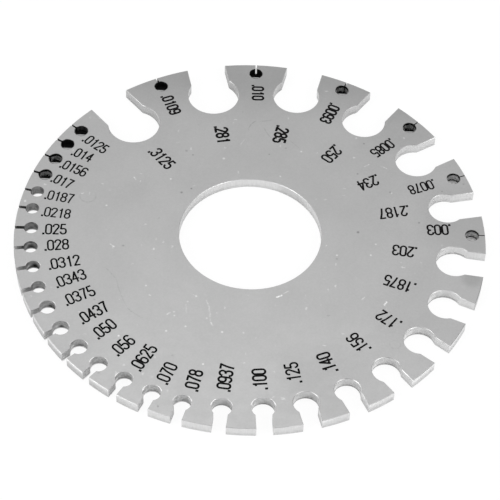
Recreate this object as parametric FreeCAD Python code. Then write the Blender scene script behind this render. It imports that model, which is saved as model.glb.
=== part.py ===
"""Wire gauge plate, in millimetres: a flat round steel plate with graded keyhole slots in its rim.

The plate lies flat with its underside at Z = 0 and its centre hole on the Z axis. Stations are
angles counted anticlockwise from +X, seen from above. Each slot is a parallel-sided neck of the
gauge's exact width, which runs in from the rim to a round relief hole.
"""

import FreeCAD, Part
import math
import os

INCH = 25.4

# The blank
PLATE_DIAMETER = 3.25 * INCH
PLATE_THICKNESS = 2.0
CENTRE_HOLE_DIAMETER = 25.0

# Finish of the cut edges
THROAT_ROUND = 0.5
EDGE_BREAK = 0.08

# Each rim slot: its gauge in inches, its station in degrees, the diameter of its relief hole, and
# the depth of that hole's centre below the rim. Sizes run down clockwise. The wide slots have
# rounded throats, where the neck opens into the relief hole, and the narrow slots have sharp ones.
WIDE_SLOTS = (
    (5 / 16, 131.3, 9.4, 7.8),
    (9 / 32, 103.3, 9.4, 7.3),
    (17 / 64, 77.3, 8.5, 6.8),
    (1 / 4, 54.3, 7.9, 6.9),
    (15 / 64, 32.2, 7.5, 6.4),
    (7 / 32, 12.1, 6.5, 5.8),
    (13 / 64, -7.4, 6.5, 5.3),
    (3 / 16, -22.8, 6.0, 4.7),
    (11 / 64, -37.1, 5.5, 4.7),
    (5 / 32, -50.4, 5.0, 4.4),
    (9 / 64, -62.6, 4.5, 4.3),
    (1 / 8, -74.0, 4.4, 4.2),
)
NARROW_SLOTS = (
    (7 / 64, -85.0, 4.0, 4.2),
    (3 / 32, -95.5, 3.5, 3.9),
    (5 / 64, -105.4, 3.1, 3.3),
    (9 / 128, -113.5, 3.1, 3.3),
    (1 / 16, -121.6, 3.0, 3.3),
    (9 / 160, -129.5, 3.0, 3.1),
    (1 / 20, -136.9, 3.0, 3.1),
    (7 / 160, -144.5, 2.9, 2.9),
    (3 / 80, -152.0, 2.8, 2.9),
    (11 / 320, -159.0, 2.5, 2.9),
    (1 / 32, -165.9, 2.5, 2.9),
    (9 / 320, -172.5, 2.5, 2.9),
    (1 / 40, -179.0, 2.5, 2.9),
    (7 / 320, -185.6, 2.4, 2.5),
    (3 / 160, -191.5, 2.4, 2.4),
    (11 / 640, -197.7, 2.4, 2.4),
    (1 / 64, -203.8, 2.4, 2.4),
    (9 / 640, -209.8, 2.4, 2.4),
    (1 / 80, -215.8, 2.4, 2.4),
)

# The finest gauges are slits, each in the middle of one of the six widest teeth.
SLIT_RELIEF = 2.4
SLIT_DEPTH = 2.3
TOOTH_SLITS = (
    (7 / 640, 116.9),
    (13 / 1280, 90.1),
    (3 / 320, 65.6),
    (11 / 1280, 43.0),
    (5 / 640, 21.9),
    (9 / 1280, 2.0),
)

# How far a cutter runs past the surfaces that it opens
CUTTER_OVERRUN = 1.0

PLATE_RADIUS = PLATE_DIAMETER / 2
UP = FreeCAD.Vector(0, 0, 1)
CENTRE = FreeCAD.Vector(0, 0, 0)


def throat_edges(cutter, throat_x):
    """The two upright edges where the walls of a slot's neck meet its relief hole."""
    tiny = PLATE_THICKNESS / 1000
    upright = [edge for edge in cutter.Edges if edge.BoundBox.ZLength > PLATE_THICKNESS]
    return [edge for edge in upright if abs(edge.Vertexes[0].X - throat_x) < tiny]


def slot_cutter(gauge, station, relief_diameter, relief_depth, throat_round=0):
    """A solid in the form of one keyhole slot, turned to its station."""
    width = gauge * INCH
    height = PLATE_THICKNESS + 2 * CUTTER_OVERRUN
    relief_radius = relief_diameter / 2
    relief_x = PLATE_RADIUS - relief_depth
    corner = FreeCAD.Vector(relief_x, -width / 2, -CUTTER_OVERRUN)
    neck = Part.makeBox(relief_depth + CUTTER_OVERRUN, width, height, corner)
    foot = FreeCAD.Vector(relief_x, 0, -CUTTER_OVERRUN)
    cutter = neck.fuse(Part.makeCylinder(relief_radius, height, foot))
    if throat_round:
        throat_x = relief_x + math.sqrt(relief_radius**2 - (width / 2) ** 2)
        cutter = cutter.makeFillet(throat_round, throat_edges(cutter, throat_x))
    cutter.rotate(CENTRE, UP, station)
    return cutter


def blank():
    """The round plate with its centre hole."""
    disc = Part.makeCylinder(PLATE_RADIUS, PLATE_THICKNESS)
    hole = Part.makeCylinder(
        CENTRE_HOLE_DIAMETER / 2,
        PLATE_THICKNESS + 2 * CUTTER_OVERRUN,
        FreeCAD.Vector(0, 0, -CUTTER_OVERRUN),
    )
    return disc.cut(hole)


def wide_cutters():
    """The wide slots, with their rounded throats."""
    return [slot_cutter(*slot, THROAT_ROUND) for slot in WIDE_SLOTS]


def fine_cutters():
    """The narrow slots of the rim and the slits of the widest teeth."""
    narrow = [slot_cutter(*slot) for slot in NARROW_SLOTS]
    slits = [slot_cutter(*slit, SLIT_RELIEF, SLIT_DEPTH) for slit in TOOTH_SLITS]
    return narrow + slits


def break_edges(plate):
    """The plate with a small chamfer along every edge of its upper face."""
    tiny = PLATE_THICKNESS / 1000
    upper = [edge for edge in plate.Edges if edge.BoundBox.ZMin > PLATE_THICKNESS - tiny]
    return plate.makeChamfer(EDGE_BREAK, upper)


def gauge_plate():
    """The whole plate, one solid. Its narrow slots are sawn last, so their edges stay sharp."""
    punched = blank().cut(wide_cutters()).removeSplitter()
    return break_edges(punched).cut(fine_cutters()).removeSplitter()


def main():
    os.makedirs("parts", exist_ok=True)
    plate = gauge_plate()
    plate.exportStep("parts/gauge_plate.step")
    print("gauge_plate: solids", len(plate.Solids), "valid", plate.isValid())
    print("volume", round(plate.Volume, 1), "mm3, box", plate.BoundBox)


main()
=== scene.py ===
"""Looks of the wire gauge plate: ground steel, cut walls, engraved figures and filled fine holes.

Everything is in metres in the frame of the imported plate. The plate lies flat with its underside at
Z = 0 and its centre hole on the Z axis. Stations are angles counted anticlockwise from +X. The
numbers in tables and fields are in mm.
"""

import sys

import logging
import math
from dataclasses import dataclass
from enum import Enum
from typing import Mapping, Optional, Sequence, Union

import bmesh
import bpy
from bmesh.types import BMesh, BMVert
from bpy.types import Material, Mesh, NodeSocket, NodeTree, Object
from mathutils import Matrix, Vector


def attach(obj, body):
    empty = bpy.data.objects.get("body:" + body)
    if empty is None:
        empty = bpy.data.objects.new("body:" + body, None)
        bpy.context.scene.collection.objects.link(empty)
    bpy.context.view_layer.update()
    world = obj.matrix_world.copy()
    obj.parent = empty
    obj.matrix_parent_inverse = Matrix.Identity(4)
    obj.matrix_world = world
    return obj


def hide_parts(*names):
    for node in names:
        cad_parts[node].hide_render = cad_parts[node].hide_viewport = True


logging.basicConfig(level=logging.INFO, format="%(name)s: %(message)s", stream=sys.stdout)
log = logging.getLogger("gauge_plate_looks")

MM = 0.001
THICKNESS = 2.0  # The plate's, and so the height of its upper face.
NOISE_SPAN = (0.3, 0.7)  # Where the values of noise mostly lie.

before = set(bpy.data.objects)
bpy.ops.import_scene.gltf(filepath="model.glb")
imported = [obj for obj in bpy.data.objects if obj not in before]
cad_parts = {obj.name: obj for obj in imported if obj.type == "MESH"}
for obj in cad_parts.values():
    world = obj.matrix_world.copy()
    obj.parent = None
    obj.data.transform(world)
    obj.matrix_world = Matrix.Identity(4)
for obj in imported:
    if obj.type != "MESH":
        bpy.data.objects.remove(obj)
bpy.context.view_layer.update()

Point = tuple[float, float]
Socket = NodeSocket
Sockets = bpy.types.bpy_prop_collection
Number = Union[Socket, float]
Value = Union[Socket, float, Sequence[float]]


class Kind(Enum):
    """Which of the plate's surfaces a face belongs to. The value is its material slot."""

    FACE = 0
    WALL = 1
    EDGE = 2
    # From FOOTED on, the kinds are walls in holes and slits with painted light and shade.
    FOOTED = 3
    DULL = 4
    DARK = 5
    RINGED = 6
    TRACED = 7
    BLACK = 8


class Weight(Enum):
    """How heavily a number is struck. The value is the breadth of its strokes."""

    LIGHT = 0.325
    PLAIN = 0.35
    FIRM = 0.38
    BOLD = 0.45


class Joint(Enum):
    """How two solids are brought together."""

    UNION = "UNION"
    CUT = "DIFFERENCE"


@dataclass(frozen=True)
class Run:
    """A straight stretch of a pen stroke."""

    length: float


@dataclass(frozen=True)
class Bend:
    """An arc of a pen stroke: its centre-line radius and its angle, positive to the left."""

    radius: float
    degrees: float


@dataclass(frozen=True)
class Corner:
    """A sharp change of a pen stroke's direction, positive to the left."""

    degrees: float


Move = Union[Run, Bend, Corner]


@dataclass(frozen=True)
class Stroke:
    """One pen stroke: where it starts, its first direction in degrees, and its moves."""

    start: Point
    heading: float
    moves: tuple[Move, ...]


def loop(left: float, foot: float, width: float, height: float) -> Stroke:
    """A closed upright loop with round ends.

    Args:
        left: X of its left side's centre-line.
        foot: Y of its lowest point.
        width: Width between centre-lines.
        height: Height between centre-lines.

    Returns:
        The stroke, which overlaps its own start by a hair.
    """
    radius = width / 2
    side = Run(height - width)
    half = Bend(radius, -180)
    return Stroke((left, foot + radius), 90, (side, half, side, half, Run(0.02)))


# The figures' centre-lines, in a box with its lower left corner at (0, 0).
FIGURES: dict[str, tuple[Stroke, ...]] = {
    "0": (loop(0, 0, 0.94, 2.15),),
    "1": (
        Stroke((0.58, -0.14), 90, (Run(2.43),)),
        Stroke((0.16, 1.73), 0, (Bend(0.42, 78),)),
    ),
    "2": (
        Stroke((0, 1.53), 90, (Run(0.15), Bend(0.47, -210.7), Run(1.67), Corner(120.7), Run(0.96))),
    ),
    "3": (
        Stroke((0, 1.6), 90, (Run(0.08), Bend(0.47, -180), Run(0.07), Bend(0.47, -90), Run(0.14))),
        Stroke((0.47, 1.14), 0, (Bend(0.47, -90), Run(0.2), Bend(0.47, -180), Run(0.08))),
    ),
    "4": (
        Stroke((0.68, -0.14), 90, (Run(2.29), Corner(155.7), Run(1.65), Corner(114.3), Run(1.06))),
    ),
    "5": (
        Stroke((0.88, 2.15), 180, (Run(0.76), Corner(84.9), Run(1.13))),
        Stroke((0.1, 1.03), 50, (Bend(0.47, -140), Run(0.26), Bend(0.47, -180), Run(0.07))),
    ),
    "6": (
        loop(0, 0, 0.94, 1.23),
        Stroke((0, 0.47), 90, (Run(1.21), Bend(0.47, -172))),
    ),
    "7": (
        Stroke((-0.02, 2.15), 0, (Run(0.96), Corner(-112), Run(0.5), Bend(5, 12), Run(0.83))),
    ),
    "8": (loop(0.04, 1.14, 0.86, 1.01), loop(0, 0, 0.94, 1.14)),
    "9": (
        loop(0, 0.92, 0.94, 1.23),
        Stroke((0.94, 1.68), 270, (Run(1.21), Bend(0.47, -172))),
    ),
    ".": (Stroke((-0.2, 0), 0, (Run(0.42),)), Stroke((-0.2, 0.12), 0, (Run(0.42),))),
}
FIGURE_WIDTH = 0.94
FIGURE_HEIGHT = 2.15


def towards(degrees: float) -> Vector:
    """The flat direction at an angle from +X."""
    angle = math.radians(degrees)
    return Vector((math.cos(angle), math.sin(angle), 0.0))


def leftward(direction: Vector) -> Vector:
    """The flat direction to the left of another one."""
    return Vector((-direction.y, direction.x, 0.0))


def turned(degrees: float) -> Matrix:
    """A turn about Z."""
    return Matrix.Rotation(math.radians(degrees), 4, "Z")


def linked(name: str, data: bpy.types.ID) -> Object:
    """Makes an object and links it to the scene.

    Args:
        name: Its name.
        data: Its mesh, light or camera.

    Returns:
        The new object.
    """
    made = bpy.data.objects.new(name, data)
    bpy.context.scene.collection.objects.link(made)
    return made


def object_from(mesh: BMesh, name: str) -> Object:
    """Makes a linked object of a bmesh, and frees the bmesh.

    Args:
        mesh: The finished bmesh.
        name: Name of the object and its mesh.

    Returns:
        The new object, at the origin.
    """
    data = bpy.data.meshes.new(name)
    mesh.to_mesh(data)
    mesh.free()
    return linked(name, data)


def raised(sheet: BMesh, height: float) -> None:
    """Raises flat faces into closed solids.

    Args:
        sheet: The sheet with the flat faces, which stay as one end of the solids.
        height: How far the other end lies above them, or below where it is negative.
    """
    flat = list(sheet.faces)
    outline = [edge for edge in sheet.edges if edge.is_boundary]
    lift = Vector((0.0, 0.0, height))
    ends = {vert: sheet.verts.new(vert.co + lift) for vert in list(sheet.verts)}
    for edge in outline:
        first, second = edge.verts
        sheet.faces.new((first, second, ends[second], ends[first]))
    for face in flat:
        sheet.faces.new([ends[vert] for vert in face.verts])
    bmesh.ops.recalc_face_normals(sheet, faces=sheet.faces)


def stamp(sheet: BMesh, mesh: Mesh, matrix: Matrix) -> None:
    """Adds a copy of a mesh to a sheet.

    Args:
        sheet: The sheet that takes it up.
        mesh: The mesh.
        matrix: Where the copy lies.
    """
    copy = mesh.copy()
    copy.transform(matrix)
    sheet.from_mesh(copy)
    bpy.data.meshes.remove(copy)


def discard(thing: Object) -> None:
    """Removes a helper object and its mesh.

    Args:
        thing: The object.
    """
    data = thing.data
    bpy.data.objects.remove(thing)
    bpy.data.meshes.remove(data)


def volume(piece: Object) -> float:
    """Works out how much a piece holds.

    Args:
        piece: The piece.

    Returns:
        Its volume, or nothing where its skin is open.
    """
    sheet = bmesh.new()
    sheet.from_mesh(piece.data)
    closed = all(len(edge.link_faces) == 2 for edge in sheet.edges)
    content = sheet.calc_volume() if closed else 0.0
    sheet.free()
    return content


def joined(body: Object, tool: Object, way: Joint) -> Object:
    """Unites two solids, whose strokes may run into each other, or cuts one with the other.

    Args:
        body: The solid that stays.
        tool: The other solid, which is used up.
        way: Whether they are united or the body is cut.

    Returns:
        The body with its new mesh.
    """
    step = body.modifiers.new("join", "BOOLEAN")
    step.operation = way.value
    step.solver = "MANIFOLD" if way is Joint.CUT else "EXACT"
    step.use_self = way is Joint.UNION
    step.object = tool
    bpy.context.view_layer.update()
    graph = bpy.context.evaluated_depsgraph_get()
    made = bpy.data.meshes.new_from_object(body.evaluated_get(graph))
    body.modifiers.clear()
    old = body.data
    body.data = made
    bpy.data.meshes.remove(old)
    discard(tool)
    return body


def united(body: Object) -> Object:
    """Makes one skin of strokes that run into each other.

    Args:
        body: The strokes, as solids 1 mm high that stand on Z = 0.

    Returns:
        The body, joined to a tiny solid inside its first stroke, since a union takes two.
    """
    first = body.data.polygons[0].center
    sheet = bmesh.new()
    size = Weight.PLAIN.value / 8
    bmesh.ops.create_cube(sheet, size=size, matrix=Matrix.Translation((first.x, first.y, 0.5)))
    return joined(body, object_from(sheet, "speck"), Joint.UNION)


class Pen:
    """Draws strokes of one breadth as flat ribbons and raises them into solids."""

    def __init__(self, breadth: float, bend_step: float = 15.0) -> None:
        """Takes up an empty sheet.

        Args:
            breadth: Breadth of every stroke.
            bend_step: Most degrees that one step of a bend may turn.
        """
        self.sheet = bmesh.new()
        self.breadth = breadth
        self.bend_step = bend_step

    def _nib(self, pose: Matrix) -> list[BMVert]:
        """Sets the pen down: two points, one on each side of the stroke."""
        sides = (self.breadth / 2, -self.breadth / 2)
        return [self.sheet.verts.new(pose @ Vector((0.0, side, 0.0))) for side in sides]

    def _dot(self, place: Vector) -> None:
        """Rounds a corner with a small disc.

        Args:
            place: The corner.
        """
        bmesh.ops.create_circle(
            self.sheet,
            cap_ends=True,
            radius=self.breadth / 2,
            segments=20,
            matrix=Matrix.Translation(place),
        )

    def _steps(self, move: Move) -> list[Matrix]:
        """Splits a move into steps.

        Args:
            move: The move.

        Returns:
            Its steps, each seen from where the pen stands before it.
        """
        if isinstance(move, Run):
            return [Matrix.Translation((move.length, 0.0, 0.0))]
        if isinstance(move, Bend):
            count = max(2, round(abs(move.degrees) / self.bend_step))
            side = Vector((0.0, math.copysign(move.radius, move.degrees), 0.0))
            turn = turned(move.degrees / count)
            return [Matrix.Translation(side) @ turn @ Matrix.Translation(-side)] * count
        return []

    def draw(self, stroke: Stroke) -> None:
        """Draws one stroke.

        Args:
            stroke: The stroke.
        """
        pose = Matrix.Translation((*stroke.start, 0.0)) @ turned(stroke.heading)
        nib = self._nib(pose)
        for move in stroke.moves:
            if isinstance(move, Corner):
                self._dot(pose.translation)
                pose = pose @ turned(move.degrees)
                nib = self._nib(pose)
            for step in self._steps(move):
                pose = pose @ step
                ahead = self._nib(pose)
                self.sheet.faces.new((*nib, ahead[1], ahead[0]))
                nib = ahead

    def solid(self) -> Object:
        """Raises the drawn ribbons into one closed solid, 1 mm high, that stands on Z = 0."""
        raised(self.sheet, 1.0)
        return united(object_from(self.sheet, "figure"))


class Wiring:
    """A node tree, with short ways to add and join nodes."""

    def __init__(self, tree: NodeTree) -> None:
        """Takes up the tree of a material or a world."""
        self.nodes = tree.nodes
        self.links = tree.links

    def put(self, socket: Socket, value: Value) -> None:
        """Joins a socket to another one, or sets it to a value.

        Args:
            socket: The socket.
            value: The other socket, or the value.
        """
        if isinstance(value, NodeSocket):
            self.links.new(value, socket)
        else:
            socket.default_value = value

    def node(self, kind: str, inputs: Mapping[Union[str, int], Value], **settings: str) -> Sockets:
        """Adds a node.

        Args:
            kind: Its type.
            inputs: What its inputs are joined or set to.
            settings: Its other settings.

        Returns:
            Its outputs.
        """
        node = self.nodes.new(kind)
        for name, setting in settings.items():
            setattr(node, name, setting)
        for name, value in inputs.items():
            self.put(node.inputs[name], value)
        return node.outputs

    def sum(self, operation: str, *values: Number) -> Socket:
        """Works out a number from others, by an operation such as ADD."""
        return self.node("ShaderNodeMath", dict(enumerate(values)), operation=operation)[0]

    def product(self, *values: Number) -> Socket:
        """Multiplies numbers with each other.

        Args:
            values: The numbers.

        Returns:
            Their product.
        """
        result, *others = values
        for other in others:
            result = self.sum("MULTIPLY", result, other)
        return result


class Board(Wiring):
    """A material's nodes. Its places are in mm."""

    def __init__(self, name: str, metal: bool = False) -> None:
        """Starts an empty material.

        Args:
            name: The material's name.
            metal: Whether it is bare metal.
        """
        self.material = bpy.data.materials.new(name)
        self.material.use_nodes = True
        super().__init__(self.material.node_tree)
        self.nodes.clear()
        self.shader = self.nodes.new("ShaderNodeBsdfPrincipled")
        if metal:
            self.shader.inputs["Metallic"].default_value = 1.0
        self.surface = self.nodes.new("ShaderNodeOutputMaterial").inputs["Surface"]
        self.put(self.surface, self.shader.outputs["BSDF"])
        place = self.node("ShaderNodeTexCoord", {})["Object"]
        self.place = self.vector("MULTIPLY", place, (1 / MM,) * 3)
        self.ruffles: dict[Point, Socket] = {}

    def vector(self, operation: str, *values: Value) -> Socket:
        """Works out a vector from others."""
        return self.node("ShaderNodeVectorMath", dict(enumerate(values)), operation=operation)[0]

    def noise(
        self,
        scale: float,
        detail: float = 2.0,
        rough: float = 0.5,
        place: Optional[Socket] = None,
    ) -> Socket:
        """Soft random variation.

        Args:
            scale: Patches to the mm.
            detail: How many finer layers it has.
            rough: How strong the finer layers are.
            place: Where it is read, or nothing for the place itself.

        Returns:
            A number from about 0.3 to 0.7.
        """
        inputs = {"Scale": scale, "Detail": detail, "Roughness": rough}
        inputs["Vector"] = self.place if place is None else place
        return self.node("ShaderNodeTexNoise", inputs)["Fac"]

    def ruffled(self, reach: float, scale: float) -> Socket:
        """A place that is moved about at random, for ragged outlines.

        Args:
            reach: Most that it moves.
            scale: Waves to the mm.

        Returns:
            The moved place.
        """
        key = (reach, scale)
        if key not in self.ruffles:
            noise = self.node("ShaderNodeTexNoise", {"Vector": self.place, "Scale": scale})
            centred = self.vector("SUBTRACT", noise["Color"], (0.5,) * 3)
            spread = (2 * reach, 2 * reach, 0.0)
            self.ruffles[key] = self.vector("MULTIPLY_ADD", centred, spread, self.place)
        return self.ruffles[key]

    def between(self, value: Socket, low: float, high: float, start: float, end: float) -> Socket:
        """Maps the range from low to high smoothly onto the one from start to end."""
        inputs = dict(enumerate((value, low, high, start, end)))
        return self.node("ShaderNodeMapRange", inputs, interpolation_type="SMOOTHSTEP")["Result"]

    def varied(self, noise: Socket, low: float, high: float) -> Socket:
        """Spreads noise over a range."""
        return self.between(noise, *NOISE_SPAN, low, high)

    def distance(self, place: Socket, point: Sequence[float]) -> Socket:
        """How far a place is from a fixed point."""
        inputs = {0: place, 1: point}
        return self.node("ShaderNodeVectorMath", inputs, operation="DISTANCE")["Value"]

    def dab(
        self,
        middle: Sequence[float],
        reach: float,
        inside: float = 1.0,
        outside: float = 0.0,
        core: float = 0.3,
        place: Optional[Socket] = None,
    ) -> Socket:
        """A soft round patch.

        Args:
            middle: The patch's middle.
            reach: Radius at which it has faded out.
            inside: Result in its core.
            outside: Result beyond its reach.
            core: The core's radius, as a share of the reach.
            place: The place that is asked about, or nothing for the place itself.

        Returns:
            The result's socket.
        """
        away = self.distance(self.place if place is None else place, middle)
        return self.between(away, core * reach, reach, inside, outside)

    def axis(self, letter: str) -> Socket:
        """A place's own X, Y or Z."""
        return self.node("ShaderNodeSeparateXYZ", {0: self.place})[letter]

    def bump(self, height: Socket, depth: float) -> None:
        """Gives the surface a fine relief of some depth, by a height from 0 to 1."""
        inputs = {"Strength": 1.0, "Distance": depth * MM, "Height": height}
        self.put(self.shader.inputs["Normal"], self.node("ShaderNodeBump", inputs)["Normal"])

    def painted(self, tone: Socket, patches: Socket, low: float, high: float) -> Material:
        """Gives the surface its grey and its roughness.

        Args:
            tone: How strong the grey is.
            patches: The noise that the roughness goes by.
            low: Roughness of the smoothest places.
            high: Roughness of the roughest ones.

        Returns:
            The finished material.
        """
        grey = self.node("ShaderNodeCombineColor", {0: tone, 1: tone, 2: tone})[0]
        self.put(self.shader.inputs["Base Color"], grey)
        self.put(self.shader.inputs["Roughness"], self.varied(patches, low, high))
        return self.material


@dataclass(frozen=True)
class ShadedSlot:
    """How one slot looks: its station, the distance and the radius of its relief hole, the distance
    at which its neck begins, and the finishes of its hole's and its neck's walls. The lip is how
    bright the painted highlights on the hole's edges are on its right and left, the halo is how dark
    the face is round the hole, and the shade is what the painted shade in the narrow hole leaves of
    the walls' brightness."""

    station: float
    centre: float
    radius: float
    mouth: float
    hole: Kind
    neck: Kind = Kind.WALL
    lip: tuple[float, ...] = ()
    halo: float = 0.0
    shade: float = 1.0

    def rim(self, degrees: float, radius: float) -> Point:
        """A place at some distance from the hole's centre, at an angle from +X."""
        return (towards(self.station) * self.centre + towards(degrees) * radius).xy[:]


# Lip values are painted highlights, and shade values are painted shade in the narrow holes.
SHADED_SLOTS = (
    ShadedSlot(-7.4, 36.0, 3.25, 37.6, Kind.FOOTED),
    ShadedSlot(-22.8, 36.6, 3.0, 38.1, Kind.FOOTED),
    ShadedSlot(-37.1, 36.6, 2.75, 37.9, Kind.FOOTED),
    ShadedSlot(-50.4, 36.9, 2.5, 38.1, Kind.FOOTED),
    ShadedSlot(-62.6, 37.0, 2.25, 38.0, Kind.FOOTED),
    ShadedSlot(-74.0, 37.1, 2.2, 38.3, Kind.FOOTED),
    ShadedSlot(-85.0, 37.1, 2.0, 38.5, Kind.FOOTED, lip=(1.6, 1.6)),
    ShadedSlot(-95.5, 37.4, 1.75, 38.7, Kind.FOOTED, lip=(0.9, 1.9)),
    ShadedSlot(-105.4, 38.0, 1.55, 39.2, Kind.DULL, lip=(1.1, 1.1)),
    ShadedSlot(-113.5, 38.0, 1.55, 39.2, Kind.DULL, Kind.DULL, lip=(1.2, 1.5), shade=0.97),
    ShadedSlot(-121.6, 38.0, 1.5, 39.3, Kind.DULL, Kind.DULL, lip=(0.7, 1.2), shade=0.9),
    ShadedSlot(-129.5, 38.2, 1.5, 39.5, Kind.DULL, Kind.DULL, lip=(1.0, 1.2), shade=0.88),
    ShadedSlot(-136.9, 38.2, 1.5, 39.5, Kind.DULL, Kind.DULL, lip=(1.1, 0.4), shade=0.83),
    ShadedSlot(-144.5, 38.4, 1.45, 39.7, Kind.DULL, Kind.DULL, lip=(1.1, 0.4), shade=0.77),
    ShadedSlot(-152.0, 38.4, 1.4, 39.7, Kind.DULL, Kind.DULL, lip=(1.3, 0.4), shade=0.75),
    ShadedSlot(-159.0, 38.4, 1.25, 39.5, Kind.DULL, Kind.DULL, lip=(0.9, 0.4), shade=0.67),
    ShadedSlot(-165.9, 38.4, 1.25, 39.6, Kind.DULL, Kind.DULL, lip=(0.9, 0.4), shade=0.62),
    ShadedSlot(-172.5, 38.4, 1.25, 39.6, Kind.DULL, Kind.DULL, shade=0.5),
    ShadedSlot(-179.0, 38.4, 1.25, 39.6, Kind.DULL, Kind.DARK, shade=0.6),
    ShadedSlot(-185.6, 38.8, 1.2, 39.9, Kind.DULL, Kind.DARK, shade=0.72),
    ShadedSlot(-191.5, 38.9, 1.2, 40.0, Kind.DULL, Kind.DARK, shade=0.7),
    ShadedSlot(-197.7, 38.9, 1.2, 40.1, Kind.RINGED, Kind.BLACK, halo=-0.75),
    ShadedSlot(-203.8, 38.9, 1.2, 40.1, Kind.RINGED, Kind.BLACK, halo=-0.75),
    ShadedSlot(-209.8, 38.9, 1.2, 40.1, Kind.BLACK, Kind.BLACK, halo=-0.8),
    ShadedSlot(-215.8, 38.9, 1.2, 40.1, Kind.DARK, Kind.BLACK, halo=-0.8),
    ShadedSlot(116.9, 39.0, 1.2, 40.7, Kind.BLACK, halo=-0.8),
    ShadedSlot(90.1, 39.0, 1.2, 40.2, Kind.BLACK, halo=-0.8),
    ShadedSlot(65.6, 39.0, 1.2, 40.2, Kind.RINGED, Kind.BLACK, halo=-0.75),
    ShadedSlot(43.0, 39.0, 1.2, 40.2, Kind.RINGED, Kind.BLACK, halo=-0.75),
    ShadedSlot(21.9, 39.0, 1.2, 40.2, Kind.TRACED, Kind.BLACK, halo=-0.5),
    ShadedSlot(2.0, 39.0, 1.2, 40.2, Kind.TRACED, Kind.BLACK, halo=-0.4),
)


@dataclass(frozen=True)
class ShadingPatch:
    """A patch of painted shade on a relief hole's wall, or of painted highlight where its strength
    is
    negative: its angle from +X round the hole, its height, its size, and how much brightness it
    takes away."""

    angle: float
    height: float
    size: float
    strength: float


# The patches of painted shade and painted highlight of each slot, by its station.
SHADING_PATCHES = {
    -7.4: (ShadingPatch(125, 0.2, 2.0, -0.22),),
    -22.8: (ShadingPatch(150, 0.5, 2.1, -0.38), ShadingPatch(80, 0.4, 1.8, 0.15)),
    -37.1: (ShadingPatch(145, 0.5, 2.2, -0.42), ShadingPatch(60, 0.9, 1.7, 0.15)),
    -50.4: (ShadingPatch(145, 0.4, 1.9, -0.42), ShadingPatch(70, 0.6, 1.5, 0.2)),
    -62.6: (ShadingPatch(142, 0.5, 1.8, -0.38),),
    -74.0: (ShadingPatch(147, 0.3, 1.6, -0.42), ShadingPatch(55, 1.0, 1.3, 0.2), ShadingPatch(80, 0.0, 1.5, 0.2)),
    -85.0: (ShadingPatch(150, 0.3, 1.3, -0.5), ShadingPatch(70, 0.1, 1.5, 0.35)),
    -95.5: (ShadingPatch(152, 0.3, 1.1, -0.42), ShadingPatch(60, 0.3, 1.7, 0.35)),
    -105.4: (ShadingPatch(22, 1.2, 1.0, -0.4), ShadingPatch(60, 0.4, 1.5, 0.3)),
    -113.5: (
        ShadingPatch(155, 0.6, 0.9, -0.3),
        ShadingPatch(22, 0.8, 1.0, -0.25),
        ShadingPatch(50, 0.4, 1.2, 0.25),
        ShadingPatch(165, 1.3, 0.5, 0.5),
    ),
    -121.6: (ShadingPatch(155, 0.6, 0.8, -0.45), ShadingPatch(70, 0.5, 1.4, 0.3), ShadingPatch(155, 1.5, 0.5, 0.4)),
    -129.5: (ShadingPatch(155, 0.6, 0.8, -0.3), ShadingPatch(50, 0.3, 1.4, 0.3)),
    -136.9: (ShadingPatch(152, 0.6, 0.9, -0.6), ShadingPatch(60, 0.3, 1.4, 0.2), ShadingPatch(90, 0.45, 0.6, 0.4)),
    -144.5: (ShadingPatch(140, 0.6, 1.0, -0.4), ShadingPatch(25, 0.8, 1.0, -0.25), ShadingPatch(88, 0.45, 0.6, 0.7)),
    -152.0: (
        ShadingPatch(150, 0.6, 0.8, -0.25),
        ShadingPatch(55, 0.9, 0.9, 0.55),
        ShadingPatch(75, 0.4, 0.7, 0.9),
        ShadingPatch(35, 0.3, 0.6, 0.9),
    ),
    -159.0: (
        ShadingPatch(155, 1.5, 0.6, 0.3),
        ShadingPatch(150, 0.8, 0.7, -0.2),
        ShadingPatch(22, 0.8, 0.9, -0.4),
        ShadingPatch(45, 0.15, 0.6, 0.8),
        ShadingPatch(170, 0.9, 0.6, 0.5),
        ShadingPatch(100, 0.1, 0.6, 0.7),
    ),
    -165.9: (
        ShadingPatch(150, 1.6, 0.7, 0.4),
        ShadingPatch(145, 0.8, 0.8, -0.5),
        ShadingPatch(75, 0.6, 1.1, 1.0),
        ShadingPatch(120, 0.2, 0.7, 0.7),
    ),
    -172.5: (
        ShadingPatch(150, 1.7, 0.6, 0.3),
        ShadingPatch(140, 0.8, 0.8, -0.7),
        ShadingPatch(110, 1.4, 0.5, -0.5),
        ShadingPatch(90, 0.5, 1.0, 0.75),
        ShadingPatch(95, 2.0, 0.6, 0.9),
        ShadingPatch(165, 1.6, 0.5, 0.5),
    ),
    -179.0: (ShadingPatch(50, 1.2, 0.8, 0.55), ShadingPatch(100, 0.5, 0.7, 0.3), ShadingPatch(90, 2.0, 0.6, 0.7)),
    -185.6: (ShadingPatch(50, 1.2, 0.8, 0.4), ShadingPatch(120, 0.9, 0.5, 0.4), ShadingPatch(60, 1.9, 0.5, 0.5)),
    -191.5: (ShadingPatch(45, 1.2, 0.9, 0.45), ShadingPatch(160, 1.2, 0.8, 0.3)),
}


@dataclass(frozen=True)
class Scratch:
    """A fine arc on the upper face: its middle, its heading there in degrees, its length, the
    radius that it bends with (positive to the left), its breadth, and how much brighter it is."""

    middle: Point
    heading: float
    length: float
    bend: float
    breadth: float
    lift: float


@dataclass(frozen=True)
class Spot:
    """A round patch on the upper face or its chamfer: its place, its radius and how much brighter it
    is.
    """

    place: Point
    radius: float
    lift: float


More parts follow.
